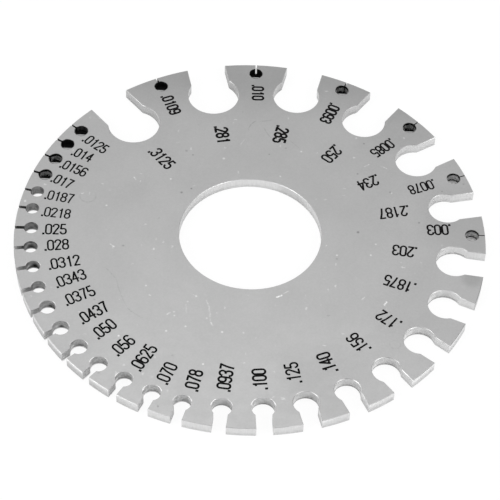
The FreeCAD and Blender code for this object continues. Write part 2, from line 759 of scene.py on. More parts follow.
SCRATCHES = (
    Scratch((-0.7, 25.8), 62, 3.4, -2.8, 0.15, -0.24),
    Scratch((2.2, 27.0), 12, 3.0, 20, 0.13, -0.2),
    Scratch((2.4, 23.9), -60, 3.6, 9, 0.13, -0.2),
    Scratch((7.7, 21.2), -47, 3.4, -12, 0.13, -0.13),
    Scratch((-23.8, -10.0), -48, 3.6, -14, 0.14, -0.17),
    Scratch((-21.8, -14.3), -70, 7.4, 24, 0.13, -0.15),
    Scratch((-19.0, -18.7), -37, 3.8, 10, 0.15, -0.2),
    Scratch((-29.05, 5.7), 0, 5.6, 1.42, 0.17, -0.13),
    Scratch((-6.62, -16.4), -74, 3.0, -6, 0.19, 0.27),
    Scratch((-6.28, -18.7), -88, 2.4, 14, 0.17, 0.22),
    Scratch((-9.3, -14.2), -20, 1.3, 30, 0.15, 0.22),
    Scratch((-10.4, -17.2), -85, 2.2, 30, 0.17, 0.15),
    Scratch((-5.9, -20.3), -62, 1.1, 9, 0.2, 0.5),
    Scratch((5.35, -13.85), 27, 1.5, 30, 0.24, 0.9),
    Scratch((6.5, -12.9), 35, 1.4, -8, 0.14, 0.3),
    Scratch((23.5, -14.5), 58, 1.2, 30, 0.22, 0.85),
    Scratch((-13.3, -18.4), 42, 1.0, 30, 0.18, 0.45),
    Scratch((-2.1, 21.4), 62, 2.0, 30, 0.16, 0.2),
    Scratch((-23.9, -4.0), -38, 1.3, 30, 0.18, 0.5),
    Scratch((-21.0, 11.7), -60, 1.1, 30, 0.18, 0.5),
    Scratch((20.6, 16.9), 35, 1.4, 30, 0.16, 0.45),
    Scratch((23.7, 16.6), -30, 1.6, -5, 0.15, 0.4),
    Scratch((19.7, -13.6), 50, 1.2, 30, 0.16, 0.4),
    Scratch((-28.2, -19.0), -30, 1.3, 30, 0.15, 0.35),
    Scratch((25.0, -24.1), 0, 4.2, 0.9, 0.15, -0.1),
    Scratch((-14.1, -33.6), -40, 1.1, -2, 0.18, 0.6),
)
SPOTS_AND_SHADES = (
    Spot((-5.3, 17.3), 0.34, 0.42),
    Spot((-14.6, 11.9), 0.27, 0.45),
    Spot((-25.6, 5.1), 0.27, 0.45),
    Spot((-4.1, -21.9), 0.3, 0.42),
    Spot((-21.4, -23.5), 0.27, 0.5),
    Spot((-10.3, -21.0), 0.27, 0.4),
    Spot((-7.0, -28.7), 0.27, 0.45),
    Spot((8.7, 19.7), 0.26, 0.4),
    Spot((-17.5, -12.6), 0.26, 0.35),
    Spot((15.2, -4.3), 0.26, 0.45),
    Spot((22.0, -1.5), 0.26, 0.4),
    Spot((21.1, -4.0), 0.26, 0.45),
    Spot((-0.5, -21.9), 0.25, 0.25),
    Spot((18.9, 1.1), 0.36, -0.4),
    Spot((-12.5, 8.8), 0.32, -0.38),
    Spot((-10.8, 9.8), 0.26, -0.4),
    Spot((-10.9, 17.9), 0.26, -0.3),
    Spot((24.7, 10.7), 0.28, -0.32),
    Spot((29.7, 3.8), 0.28, -0.35),
    Spot((18.9, 14.8), 0.26, -0.32),
    Spot((20.1, 22.2), 0.26, -0.36),
    Spot((2.9, 18.7), 0.25, -0.25),
    Spot((15.2, -5.1), 0.28, -0.22),
    Spot((-8.8, -14.5), 0.27, 0.35),
    Spot((-10.2, -15.7), 0.26, 0.25),
    Spot((-6.8, -19.1), 0.25, 0.3),
    Spot((-12.4, -18.0), 0.25, 0.3),
    Spot((-12.3, -18.8), 0.25, 0.3),
    Spot((-13.5, -22.1), 0.28, 0.4),
    # From here on, broad patches: painted shade over the face, and in the last one painted light.
    Spot((38.6, -8.4), 2.6, -0.16),
    Spot((38.0, 4.0), 11.0, -0.07),
    Spot((27.5, 27.0), 9.0, -0.08),
    Spot((14.0, -33.0), 12.0, -0.05),
    Spot((27.0, -17.0), 9.0, -0.04),
    Spot((-10.0, -13.0), 16.0, 0.025),
)


@dataclass(frozen=True)
class Specks:
    """Specks scattered over the face: how many cells there are to the mm along each axis, a speck's
    radius in cells, and how much brighter it is."""

    cells: tuple[float, float, float]
    radius: float
    lift: float


SPECKS = (
    Specks((0.6, 0.6, 0.6), 0.16, 0.42),
    Specks((0.3, 0.8, 0.5), 0.14, 0.36),
    Specks((0.8, 0.32, 0.5), 0.14, 0.32),
    Specks((0.5, 0.5, 0.9), 0.14, -0.3),
)

# Patches of painted highlight and painted shade on the small chamfer.
EDGE_SHADING = (
    Spot((-34.5, -22.5), 14.0, 0.45),
    Spot((-40.5, 6.0), 12.0, 0.32),
    Spot((-22.4, 31.4), 4.5, 0.35),
    Spot((-19.7, 29.3), 1.1, -0.55),
    Spot((-17.6, 27.0), 2.6, 0.35),
    Spot((18.4, 31.5), 2.0, -0.3),
    Spot((29.0, 22.4), 4.5, -0.4),
    Spot((35.5, 10.5), 4.5, -0.3),
    Spot((35.7, -1.4), 4.0, -0.3),
    Spot((36.4, -2.0), 1.6, 0.4),
    Spot((36.6, -13.0), 1.8, 0.4),
    Spot((39.9, -10.7), 6.0, -0.5),
    Spot((35.7, -20.6), 4.0, -0.4),
    Spot((32.4, -21.8), 2.8, -0.15),
    Spot((29.8, -28.5), 4.5, -0.5),
    Spot((24.4, -25.8), 1.4, -0.35),
    Spot((26.7, -29.0), 2.4, 0.45),
    Spot((22.8, -34.4), 4.2, -0.5),
    Spot((19.6, -33.2), 3.0, 0.6),
    Spot((17.0, -30.9), 1.3, -0.35),
    Spot((15.5, -38.3), 3.5, -0.25),
    Spot((12.4, -36.5), 3.0, 0.5),
    Spot((8.0, -34.1), 2.2, -0.2),
)


@dataclass(frozen=True)
class WallShading:
    """How a stretch of cut wall is painted lighter or darker: its middle, its reach, how much
    brighter its foot and its top are, the height at which one passes into the other, and whether it
    is only on the rim. Darker stretches are painted shade; brighter ones are partly a burnished
    band, partly painted highlight."""

    place: Point
    reach: float
    foot: float
    top: float
    level: float = 1.5
    rim: bool = False


# Stretches of cut wall with painted shade, and with painted highlight on a burnished band.
WALL_SHADING = (
    WallShading((-21.0, 30.5), 12.0, -0.27, -0.27),
    WallShading((-5.0, 39.0), 9.0, -0.3, -0.3),
    WallShading((4.9, 37.6), 2.9, -0.2, -0.2),
    WallShading((18.5, 32.0), 9.0, -0.12, -0.12),
    WallShading((7.5, 10.5), 4.5, -0.13, -0.13),
    WallShading((-31.0, -27.0), 22.0, -0.17, 0.14),
    WallShading((-41.0, 2.0), 9.0, 0.12, 0.12),
    WallShading((31.0, -27.5), 14.0, 0.04, 0.26, level=1.15, rim=True),
    WallShading((39.9, -10.7), 7.0, -0.15, -0.2, level=1.1, rim=True),
    WallShading((19.8, -34.3), 3.5, 0.0, 0.22, level=1.4),
    WallShading((12.4, -37.5), 3.5, 0.0, 0.25, level=1.4),
)


@dataclass(frozen=True)
class GroundSteel:
    """Fine satin steel of the two broad faces, with specks and handling marks. Towards the far rim
    its tone is painted darker, as painted shade, and the halo is how far a darker ring reaches out
    round the finest holes. A span is the range of noise that counts, and a ruffle is how far a
    mark's outline wanders and how often to the mm. A core is the share of a mark that shows in full,
    and of the specks' cells the empty share has none."""

    tone: float = 0.47
    mottle: Point = (0.975, 1.025)
    grain: Point = (0.97, 1.03)
    grain_span: Point = (0.25, 0.75)
    roughness: Point = (0.41, 0.47)
    relief: float = 0.002
    # Painted shade: towards the far rim, between the next two distances in Y, the tone falls to this
    # share.
    painted_light: float = 0.83
    far_shade_from: float = 25.0
    far_shade_to: float = 38.0
    halo: float = 0.14
    # Painted highlights on the edges of the middling relief holes: their breadth and their angles
    # round each hole.
    lip: float = 0.08
    lip_angles: Point = (35.0, 145.0)
    faint: float = 0.25
    faint_span: Point = (0.35, 0.6)
    scratch_ruffle: Point = (0.12, 1.5)
    scratch_core: Point = (0.6, 0.25)
    speck_ruffle: Point = (0.35, 3.0)
    speck_core: float = 0.4
    empty: float = 0.8

    def material(self) -> Material:
        """Lays the finish out in nodes.

        Returns:
            The material.
        """
        board = Board("ground_steel_face", metal=True)
        mottle = board.varied(board.noise(scale=0.12, detail=3.0, rough=0.55), *self.mottle)
        grain = board.noise(scale=3.2, detail=3.0, rough=0.65)
        board.bump(grain, self.relief)
        grain = board.between(grain, *self.grain_span, *self.grain)
        # Painted shade: the tone falls towards the far rim.
        painted_light = board.between(board.axis("Y"), self.far_shade_from, self.far_shade_to, 1.0, self.painted_light)
        tone = board.product(mottle, grain, self.tone, painted_light, self.marks(board))
        patches = board.noise(scale=0.5, detail=3.0)
        return board.painted(tone, patches, *self.roughness)

    def marks(self, board: Board) -> Socket:
        """How much marks of use, painted highlights and painted shade lighten or darken each place,
        about 1.

        Args:
            board: The finish's node board.

        Returns:
            A factor for the tone.
        """
        ragged = board.between(board.noise(scale=2.6), *self.faint_span, self.faint, 1.0)
        factor: Number = 1.0
        for specks in SPECKS:
            factor = board.sum("ADD", self.specks(board, specks), factor)
        # Scratches, and the painted highlights on the edges of the relief holes.
        for scratch in (*SCRATCHES, *self.lip_highlights()):
            drawn = board.product(self.scratch(board, scratch), ragged)
            factor = board.sum("MULTIPLY_ADD", drawn, scratch.lift, factor)
        # Specks, and broad patches of painted shade and painted light.
        for spot in SPOTS_AND_SHADES:
            dab = board.dab((*spot.place, THICKNESS), spot.radius)
            factor = board.sum("MULTIPLY_ADD", dab, spot.lift, factor)
        return self.halos(board, factor)

    def halos(self, board: Board, factor: Socket) -> Socket:
        """Darkens the face in a ragged ring round the finest holes.

        Args:
            board: The finish's node board.
            factor: The factor so far.

        Returns:
            The factor with the halos in it.
        """
        dark_spread = board.product(board.noise(scale=1.7), 2 * self.halo)
        for slot in SHADED_SLOTS:
            if slot.halo:
                away = board.distance(board.place, (*slot.rim(0.0, 0.0), THICKNESS))
                away = board.sum("SUBTRACT", away, dark_spread)
                halo = board.between(away, slot.radius - self.halo, slot.radius, 1.0, 0.0)
                factor = board.sum("MULTIPLY_ADD", halo, slot.halo, factor)
        return factor

    def lip_highlights(self) -> list[Scratch]:
        """Finds the painted highlights on the edges of the middling relief holes.

        Returns:
            The highlights, as short arcs.
        """
        arcs = []
        for slot in SHADED_SLOTS:
            for angle, lift in zip(self.lip_angles, slot.lip):
                radius = slot.radius + self.lip
                middle = slot.rim(angle, radius)
                arcs.append(Scratch(middle, angle + 90, slot.radius, radius, self.lip, lift))
        return arcs

    def scratch(self, board: Board, scratch: Scratch) -> Socket:
        """Draws a scratch.

        Args:
            board: The finish's node board.
            scratch: The scratch.

        Returns:
            How strongly it shows at each place, from 0 to 1.
        """
        middle = Vector((*scratch.middle, THICKNESS))
        centre = middle + leftward(towards(scratch.heading)) * scratch.bend
        radius = board.distance(board.ruffled(*self.scratch_ruffle), centre)
        off = board.sum("ABSOLUTE", board.sum("SUBTRACT", radius, abs(scratch.bend)))
        along, across = self.scratch_core
        line = board.between(off, across * scratch.breadth, scratch.breadth, 1.0, 0.0)
        return board.product(line, board.dab(middle, scratch.length / 2, core=along))

    def specks(self, board: Board, specks: Specks) -> Socket:
        """Scatters one kind of speck.

        Args:
            board: The finish's node board.
            specks: The kind.

        Returns:
            What they add to the factor at each place.
        """
        place = board.vector("MULTIPLY", board.ruffled(*self.speck_ruffle), specks.cells)
        cell = board.node("ShaderNodeTexVoronoi", {"Vector": place, "Scale": 1.0})
        core = self.speck_core * specks.radius
        dab = board.between(cell["Distance"], core, specks.radius, 1.0, 0.0)
        chance = board.node("ShaderNodeSeparateColor", {0: cell["Color"]})[0]
        return board.product(dab, board.between(chance, self.empty, 1.0, 0.0, specks.lift))


@dataclass(frozen=True)
class CutSteel:
    """Brighter steel of the punched rim, slots and hole, with upright streaks. The ragged height
    lies a quarter of a mm above the true one, the wall has painted shade at its foot up to some
    height, and the passage is half the height over which a stretch's painted top passes into its
    painted foot."""

    tone: float = 0.64
    roughness: Point = (0.32, 0.41)
    streaks: tuple[float, float, float] = (1.0, 1.0, 0.12)
    streak_tones: Point = (0.95, 1.04)
    # Painted shade at the wall's foot: the share of the tone it leaves, and the ragged heights over
    # which it fades out.
    painted_foot: float = 0.93
    painted_foot_to: Point = (0.75, 1.05)
    relief: float = 0.004
    ragged: float = 0.5
    passage: float = 0.4
    rim: float = 41.2
    rim_play: float = 0.1

    def material(self) -> Material:
        """Lays the finish out in nodes.

        Returns:
            The material.
        """
        board = Board("cut_steel_wall", metal=True)
        drag = board.noise(scale=5.0, place=board.vector("MULTIPLY", board.place, self.streaks))
        board.bump(drag, self.relief)
        height = board.sum("MULTIPLY_ADD", board.noise(scale=0.9), self.ragged, board.axis("Z"))
        # Painted shade at the foot of the wall.
        painted_foot = board.between(height, *self.painted_foot_to, self.painted_foot, 1.0)
        tone = board.product(board.varied(drag, *self.streak_tones), self.tone, painted_foot)
        return board.painted(self.lit_and_shaded(board, tone, height), drag, *self.roughness)

    def lit_and_shaded(self, board: Board, tone: Socket, height: Socket) -> Socket:
        """Paints light and shade onto the wall in the listed stretches.

        Args:
            board: The finish's node board.
            tone: The tone so far.
            height: The ragged height.

        Returns:
            The tone with the painted light and shade.
        """
        flat = board.vector("MULTIPLY", board.place, (1.0, 1.0, 0.0))
        away = board.distance(flat, (0.0, 0.0, 0.0))
        rim = board.between(away, self.rim - self.rim_play, self.rim, 0.0, 1.0)
        for wear_and_shading in WALL_SHADING:
            near = board.dab((*wear_and_shading.place, THICKNESS / 2), wear_and_shading.reach)
            if wear_and_shading.rim:
                near = board.product(near, rim)
            level = wear_and_shading.level + self.ragged / 2
            low, high = level - self.passage, level + self.passage
            lift = board.between(height, low, high, wear_and_shading.foot, wear_and_shading.top)
            tone = board.product(tone, board.sum("MULTIPLY_ADD", near, lift, 1.0))
        return tone


@dataclass(frozen=True)
class BrokenEdge:
    """Bright steel of the small chamfer round the upper face, with painted shade towards the left.
    """

    tone: float = 0.55
    mottle: Point = (0.82, 1.05)
    roughness: Point = (0.35, 0.5)
    left_shade: float = 0.85
    left_shade_to: float = -30.0
    unshaded_from: float = 10.0

    def material(self) -> Material:
        """Lays the finish out in nodes.

        Returns:
            The material.
        """
        board = Board("broken_edge_steel", metal=True)
        wear_and_shading = board.varied(board.noise(scale=0.7, detail=3.0, rough=0.6), *self.mottle)
        # Painted shade towards the left.
        side = board.between(board.axis("X"), self.left_shade_to, self.unshaded_from, self.left_shade, 1.0)
        tone = board.product(wear_and_shading, side, self.tone)
        # Patches of painted highlight and painted shade along the chamfer.
        for spot in EDGE_SHADING:
            lit_and_shaded = board.dab((*spot.place, THICKNESS), spot.radius, 1 + spot.lift, 1.0)
            tone = board.product(tone, lit_and_shaded)
        return board.painted(tone, board.noise(scale=2.0), *self.roughness)


@dataclass(frozen=True)
class ShadedWall:
    """Steel inside a hole, with painted shade near its mouth and painted shadow at its foot. The
    ring is how far the mouth's painted shade reaches down, the foot is the height of the foot's
    painted shadow, and the glint is the height of the foot's painted reflection of the floor's
    light, under a painted dark line. The waver is how far the clouds lift and lower the outlines of
    the painted shade and of the glint, and the fade is where the glint begins and ends to fade,
    about its height. The lip is the size of the painted highlights under the hole's bright edges,
    and the shade is where a slot's painted shade ends."""

    name: str
    tone: float
    ring: float = 0.0
    foot: float = 0.0
    glint: float = 0.0
    glow: float = 0.9
    # Share of brightness left in the painted dark line above the glint.
    line: float = 0.6
    line_breadth: float = 0.3
    # Tone left where the painted shade is full.
    darkest: float = 0.004
    shading_painted: bool = False
    mottle: float = 0.3
    cloud_span: Point = (0.35, 0.65)
    soft: float = 0.15
    waver: Point = (1.2, 0.3)
    fade: Point = (-0.15, 0.05)
    roughness: Point = (0.45, 0.6)
    ruffle: Point = (0.3, 2.0)
    core: float = 0.2
    lip: float = 0.8
    lip_angles: Point = (20.0, 160.0)
    highlight_gain: float = 0.3
    shade: Point = (1.8, 2.8)

    def material(self) -> Material:
        """Lays the finish out in nodes.

        Returns:
            The material.
        """
        board = Board(self.name, metal=True)
        cloud = board.noise(scale=2.4, detail=3.0, rough=0.65)
        centred = board.sum("SUBTRACT", cloud, 0.5)
        bright_share = board.between(cloud, *self.cloud_span, 1 - self.mottle, 1 + self.mottle)
        if self.shading_painted:
            bright_share = self.paint_shading(board, bright_share)
        level = board.sum("MULTIPLY_ADD", centred, self.waver[0], board.axis("Z"))
        # Painted shade near the mouth.
        if self.ring:
            edge = THICKNESS - self.ring
            below = board.between(level, edge - self.soft, edge + self.soft, 1.0, 0.0)
            bright_share = board.product(bright_share, below)
        # Painted shadow at the foot.
        if self.foot:
            above = board.between(level, self.foot - self.soft, self.foot + self.soft, 0.0, 1.0)
            bright_share = board.product(bright_share, above)
        if self.glint:
            bright_share = self.foot_glint(board, bright_share, centred)
        tone = board.sum("MULTIPLY_ADD", bright_share, self.tone, self.darkest)
        return board.painted(tone, cloud, *self.roughness)

    def foot_glint(self, board: Board, bright_share: Socket, centred: Socket) -> Socket:
        """Paints a reflection of the floor's light on the foot, and painted shade on the line above
        it.

        Args:
            board: The finish's node board.
            bright_share: How bright the wall is painted so far.
            centred: The wall's clouds, about 0.

        Returns:
            How bright it is left.
        """
        level = board.sum("MULTIPLY_ADD", centred, self.waver[1], board.axis("Z"))
        line = board.between(level, self.glint, self.glint + self.line_breadth, self.line, 1.0)
        low, high = (self.glint + step for step in self.fade)
        painted_foot = board.between(level, low, high, self.glow, 0.0)
        return board.sum("MULTIPLY_ADD", bright_share, line, painted_foot)

    def paint_shading(self, board: Board, bright_share: Socket) -> Socket:
        """Paints shade and highlights onto the wall, in patches and over the narrow holes.

        Args:
            board: The finish's node board.
            bright_share: How bright the wall is painted so far.

        Returns:
            How bright it is left.
        """
        place = board.ruffled(*self.ruffle)
        patches = []
        for slot in SHADED_SLOTS:
            # Patches of painted shade and of painted highlight.
            for mark in SHADING_PATCHES.get(slot.station, ()):
                middle = (*slot.rim(mark.angle, slot.radius), mark.height)
                patches.append((middle, mark.size, 1 - mark.strength))
            # Painted highlights under the hole's bright edges.
            for angle, lift in zip(self.lip_angles, slot.lip):
                middle = (*slot.rim(angle, slot.radius), THICKNESS)
                patches.append((middle, self.lip, 1 + self.highlight_gain * lift))
            # Painted shade over the slot's narrow hole.
            if slot.shade < 1.0:
                away = board.distance(board.place, (*slot.rim(0.0, 0.0), THICKNESS / 2))
                bright_share = board.product(bright_share, board.between(away, *self.shade, slot.shade, 1.0))
        for middle, size, left in patches:
            patch = board.dab(middle, size, left, 1.0, self.core, place)
            bright_share = board.product(bright_share, patch)
        return bright_share


@dataclass(frozen=True)
class DustAndSheen:
    """Grey dust settled in the last two holes, and the painted highlight on the others' lips."""

    name: str = "hole_dust"
    tone: float = 0.85
    clouds: Point = (0.85, 1.15)
    roughness: Point = (0.8, 0.95)

    def material(self) -> Material:
        """Lays the finish out in nodes.

        Returns:
            The material.
        """
        board = Board(self.name)
        cloud = board.varied(board.noise(scale=3.0, detail=3.0), *self.clouds)
        tone = board.product(cloud, self.tone)
        return board.painted(tone, board.noise(scale=5.0), *self.roughness)


@dataclass(frozen=True)
class BlackFillAndShadow:
    """Matt black lacquer in the engraved figures, and black painted shadow in the finest holes and
    slits.
    """

    name: str = "black_fill"
    tone: float = 0.004
    clouds: Point = (0.6, 1.6)
    roughness: Point = (0.5, 0.7)
    gloss: float = 0.05

    def material(self) -> Material:
        """Lays the finish out in nodes.

        Returns:
            The material.
        """
        board = Board(self.name)
        board.shader.inputs["Specular IOR Level"].default_value = self.gloss
        tone = board.product(board.varied(board.noise(scale=2.5), *self.clouds), self.tone)
        return board.painted(tone, board.noise(scale=4.0), *self.roughness)


@dataclass(frozen=True)
class Mark:
    """One size number: its text, its station in degrees, the distance of its middle from the
    plate's centre, its step aside (clockwise), its tilt in degrees, how heavily it is struck, and
    its size."""

    text: str
    station: float
    distance: float
    side: float = 0.0
    tilt: float = 0.0
    weight: Weight = Weight.PLAIN
    size: float = 1.0


SMALL_FIGURES = 0.92
MARKS = (
    Mark(".3125", 131.3, 23.3, -1.2, -0.5, Weight.FIRM),
    Mark(".281", 103.3, 23.7, -0.3, -2.5, Weight.BOLD),
    Mark(".285", 77.3, 24, -0.4, 1, Weight.BOLD),
    Mark(".250", 54.3, 23.9, 0.3, -1.5, Weight.FIRM),
    Mark(".234", 32.2, 24.3, 0.3, -2.5),
    Mark(".2187", 12.1, 25.8, -0.6, 0),
    Mark(".203", -7.4, 26.9, -0.7, 0.5),
    Mark(".1875", -22.8, 27.6, -0.7, 3),
    Mark(".172", -37.1, 29.7, -0.1, 0),
    Mark(".156", -50.4, 29.6, 0.3, 0),
    Mark(".140", -62.6, 30.4, 0.6, -4, Weight.FIRM),
    Mark(".125", -74, 30.6, 0.6, -4),
    Mark(".100", -85, 31.2, 0.3, 1, Weight.FIRM),
    Mark(".0937", -95.5, 31.2, 0.2, -0.5, Weight.FIRM),
    Mark(".078", -105.4, 32.9, -0.4, 4.5, Weight.FIRM),
    Mark(".070", -113.5, 33.2, -0.4, 1),
    Mark(".0625", -121.6, 32.3, -0.1, 2.5),
    Mark(".056", -129.5, 32.5, -0.3, -2.5),
    Mark(".050", -136.9, 32.4, 0.2, 0.5),
    Mark(".0437", -144.5, 31.9, -0.2, 1),
    Mark(".0375", -152, 32.3, 0, 1, Weight.LIGHT),
    Mark(".0343", -159, 32.5, 0.1, 4.5, Weight.LIGHT),
    Mark(".0312", -165.9, 32.7, -0.1, 0.5, Weight.LIGHT),
    Mark(".028", -172.5, 33.6, 0.1, 0, Weight.LIGHT),
    Mark(".025", -179, 34, -0.2, 1.5, Weight.LIGHT),
    Mark(".0218", -185.6, 34.2, -0.4, 0.5, Weight.LIGHT, SMALL_FIGURES),
    Mark(".0187", -191.5, 34.5, -0.2, 1.5, Weight.LIGHT, SMALL_FIGURES),
    Mark(".017", -197.7, 35.2, -0.4, -7, Weight.PLAIN, SMALL_FIGURES),
    Mark(".0156", -203.8, 34.6, -0.5, -1.5, Weight.PLAIN, SMALL_FIGURES),
    Mark(".014", -209.8, 34.9, -0.6, 3.5, Weight.PLAIN, SMALL_FIGURES),
    Mark(".0125", -215.8, 34.5, -0.8, -1, Weight.PLAIN, SMALL_FIGURES),
    Mark(".0109", 116.9, 33.8, -0.2, -2.5, Weight.BOLD, SMALL_FIGURES),
    Mark(".010", 90.1, 33.9, 0.5, 1.5, Weight.BOLD, SMALL_FIGURES),
    Mark(".0093", 65.6, 32.4, 0.5, 0, Weight.BOLD, SMALL_FIGURES),
    Mark(".0085", 43, 31.6, 0.5, -1.5, Weight.FIRM, SMALL_FIGURES),
    Mark(".0078", 21.9, 32.6, 0, 0.5, Weight.PLAIN, SMALL_FIGURES),
    Mark(".003", 2, 33, -1.2, 2.5),
)


@dataclass
class SizeNumbers:
    """The engraved size numbers, as one cutter for the face and one thin fill of lacquer."""

    pitch: float = 1.29
    point_gap: float = 0.42
    depth: float = 0.06
    fill: float = 0.055
    overrun: float = 0.05
    weld: float = 0.0001
    proud: float = 0.004

    def __post_init__(self) -> None:
        """Draws each number once, flat on the middle of its digits and 1 mm high."""
        self.figures = {
            (weight, sign): self._figure(weight, sign) for weight in Weight for sign in FIGURES
        }
        self.numbers = {mark: self._number(mark) for mark in MARKS}

    def _figure(self, weight: Weight, sign: str) -> Mesh:
        """Draws one figure.

        Args:
            weight: How heavily it is struck.
            sign: Its character.

        Returns:
            The figure, 1 mm high.
        """
        pen = Pen(weight.value)
        for stroke in FIGURES[sign]:
            pen.draw(stroke)
        return self._taken(pen.solid())

    def _taken(self, solid: Object) -> Mesh:
        """Welds a helper solid and removes its object.

        Args:
            solid: The solid.

        Returns:
            Its mesh.
        """
        sheet = bmesh.new()
        sheet.from_mesh(solid.data)
        bmesh.ops.remove_doubles(sheet, verts=sheet.verts, dist=self.weld)
        mesh = solid.data.copy()
        sheet.to_mesh(mesh)
        sheet.free()
        discard(solid)
        return mesh

    def _number(self, mark: Mark) -> Mesh:
        """Sets a number's figures side by side.

        Args:
            mark: The number.

        Returns:
            The row, with one skin where the figures are heavy, since those touch.
        """
        sheet = bmesh.new()
        for sign, x, y in self._signs(mark):
            stamp(sheet, self.figures[mark.weight, sign], Matrix.Translation((x, y, 0)))
        if mark.weight in (Weight.FIRM, Weight.BOLD):
            return self._taken(united(object_from(sheet, "number")))
        row = bpy.data.meshes.new("number")
        sheet.to_mesh(row)
        sheet.free()
        return row

    def _signs(self, mark: Mark) -> list[tuple[str, float, float]]:
        """Places the signs of a number in a row.

        Args:
            mark: The number.

        Returns:
            Each sign with its corner's place, about the middle of the digits.
        """
        digits = mark.text.lstrip(".")
        span = (len(digits) - 1) * self.pitch + FIGURE_WIDTH
        foot = -FIGURE_HEIGHT / 2
        signs = [(digit, step * self.pitch - span / 2, foot) for step, digit in enumerate(digits)]
        return [(".", -span / 2 - self.point_gap, foot), *signs]

    def _frame_of(self, mark: Mark) -> Matrix:
        """Places a number on the plate.

        Args:
            mark: The number.

        Returns:
            Where its middle lies, how it is turned and its size.
        """
        out = towards(mark.station)
        middle = out * mark.distance - leftward(out) * mark.side
        turn = turned(mark.station + 180 + mark.tilt)
        return Matrix.Translation(middle) @ turn @ Matrix.Diagonal((mark.size, mark.size, 1, 1))

    def solids(self, name: str, bottom: float, top: float) -> Object:
        """All numbers as solids between two heights.

        Args:
            name: Name of the object.
            bottom: Their lower end's height, in mm.
            top: Their upper end's height, in mm.

        Returns:
            One object that holds every figure, in metres.
        """
        sheet = bmesh.new()
        lift = Matrix.Translation((0, 0, bottom)) @ Matrix.Diagonal((1, 1, top - bottom, 1))
        for mark, number in self.numbers.items():
            stamp(sheet, number, Matrix.Scale(MM, 4) @ self._frame_of(mark) @ lift)
        return object_from(sheet, name)

    def cutter(self) -> Object:
        """The solids that cut the figures into the upper face."""
        return self.solids("figure_cutter", THICKNESS - self.depth, THICKNESS + self.overrun)

    def build(self, engraved: bool) -> Object:
        """Makes and dresses the lacquer in the figures.

        Args:
            engraved: Whether the plate has the figures cut into it, so that the lacquer lies below
                its face. On a plain plate the lacquer stands proud by a hair.

        Returns:
            The piece, riding on the plate's body.
        """
        bottom = THICKNESS - self.depth if engraved else THICKNESS - self.fill + self.proud
        piece = self.solids("size_numbers", bottom, bottom + self.fill)
        piece.data.materials.append(BlackFillAndShadow().material())
        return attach(piece, "root")


@dataclass
class GaugePlate:
    """The plate itself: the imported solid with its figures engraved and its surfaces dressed."""

    merge: float = 0.0005
    flat: float = 0.9
    upright: float = 0.35
    smooth_angle: float = 28.0
    most_cut: float = 0.01
    slots_from: float = 32.0
    slot_play: float = 0.15

    def copy(self) -> Object:
        """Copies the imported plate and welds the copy.

        Returns:
            The copy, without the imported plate's shading.
        """
        sheet = bmesh.new()
        sheet.from_mesh(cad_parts["gauge_plate"].data)
        bmesh.ops.remove_doubles(sheet, verts=sheet.verts, dist=self.merge * MM)
        piece = object_from(sheet, "steel_plate")
        for name in ("custom_normal", "sharp_edge", "sharp_face"):
            if name in piece.data.attributes:
                piece.data.attributes.remove(piece.data.attributes[name])
        return piece

    def kind(self, normal: Vector, middle: Vector) -> Kind:
        """Which surface a face belongs to.

        Args:
            normal: The face's normal.
            middle: The face's middle, in mm.

        Returns:
            The surface.
        """
        if abs(normal.z) > self.flat:
            return Kind.FACE
        if abs(normal.z) > self.upright:
            return Kind.EDGE
        for slot in SHADED_SLOTS:
            out = towards(slot.station)
            along = middle.dot(out)
            aside = (middle - out * along).xy.length
            if along > self.slots_from and aside < slot.radius + self.slot_play:
                if along < slot.mouth:
                    return slot.hole
                return slot.neck if abs(normal.dot(out)) < self.upright else Kind.WALL
        return Kind.WALL

    def dress(self, piece: Object) -> None:
        """Gives each face its finish and shades the round walls smoothly.

        Args:
            piece: The engraved plate.
        """
        finishes = {
            Kind.FACE: GroundSteel(),
            Kind.WALL: CutSteel(),
            Kind.EDGE: BrokenEdge(),
            # Wide relief holes: painted shadow at the foot, a painted dark line, and a painted
            # reflection of the floor's light at the very foot.
            Kind.FOOTED: ShadedWall(
                "footed_wall",
                0.5,
                foot=0.15,
                glint=0.2,
                glow=0.45,
                line=0.8,
                darkest=0.14,
                shading_painted=True,
                mottle=0.06,
                soft=0.4,
                roughness=(0.31, 0.46),
            ),
            # Narrow relief holes: painted shade, painted highlights under the edges, a painted dark
            # line and a painted reflection of the floor's light at the foot.
            Kind.DULL: ShadedWall("dull_hole_wall", 0.62, glint=0.3, shading_painted=True, mottle=0.2),
            # Painted shade in the narrowest necks and in one of the finest holes.
            Kind.DARK: ShadedWall("dark_wall", 0.12),
            # The finest holes: painted shade at the mouth and at the foot.
            Kind.RINGED: ShadedWall("ringed_hole_wall", 0.85, ring=0.55, foot=0.45),
            Kind.TRACED: ShadedWall("traced_hole_wall", 0.6, ring=0.46, foot=0.42),
            # Black painted shadow on the walls of the finest slits.
            Kind.BLACK: BlackFillAndShadow("wall_shadow_black"),
        }
        piece.data.materials.clear()
        for kind in Kind:
            piece.data.materials.append(finishes[kind].material())
        for face in piece.data.polygons:
            face.material_index = self.kind(face.normal, face.center / MM).value
            face.use_smooth = True
        piece.data.set_sharp_from_angle(angle=math.radians(self.smooth_angle))

    def build(self, numbers: SizeNumbers) -> tuple[Object, bool]:
        """Makes the plate.

        Args:
            numbers: The numbers that are cut into it.

        Returns:
            The piece, riding on the plate's body in place of the plain solid, and whether the
            figures are cut into it.
        """
        piece = self.copy()
        plain = piece.data.copy()
        whole = volume(piece)
        piece = joined(piece, numbers.cutter(), Joint.CUT)
        left = volume(piece)
        engraved = (1 - self.most_cut) * whole < left < whole
        if not engraved:
            log.warning("the figures don't cut cleanly, so the plate stays plain")
            piece.data = plain
        self.dress(piece)
        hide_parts("gauge_plate")
        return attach(piece, "root"), engraved


